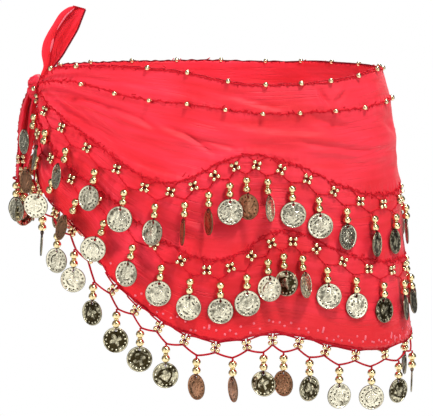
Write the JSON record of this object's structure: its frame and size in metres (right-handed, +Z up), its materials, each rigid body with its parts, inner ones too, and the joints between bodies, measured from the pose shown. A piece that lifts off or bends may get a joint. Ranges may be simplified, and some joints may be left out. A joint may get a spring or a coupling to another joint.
{
  "type": "belly dance hip scarf",
  "caption": "Red chiffon hip scarf tied over one hip, worn round and open, with rows of bead flowers and hanging gold coins and a netted coin fringe along its hem.",
  "frame": {"origin": "middle of the waist opening, level with the top edge, where the wearer's hips hold the scarf", "axes": "+Z up along the wearer, -Y to the wearer's front, +X to the wearer's left; the knot is on the -X side"},
  "size_m": [0.3619, 0.2643, 0.3462],
  "materials": {
    "chiffon": "thin bright red chiffon, soft with a slight sheen",
    "gilt": "pale gold stamped coins and round beads, bright with worn darker hollows",
    "net_cord": "crimson crochet cord and sewing thread"
  },
  "bodies": {
    "root": {"front_stretch": "chiffon", "back_stretch": "chiffon", "knot": "chiffon", "standing_tail": "chiffon", "hanging_tail": "chiffon", "hem_fringe": "gilt", "upper_coin_row": "gilt", "lower_coin_row": "gilt", "tail_coins": "gilt"}
  },
  "joints": []
}
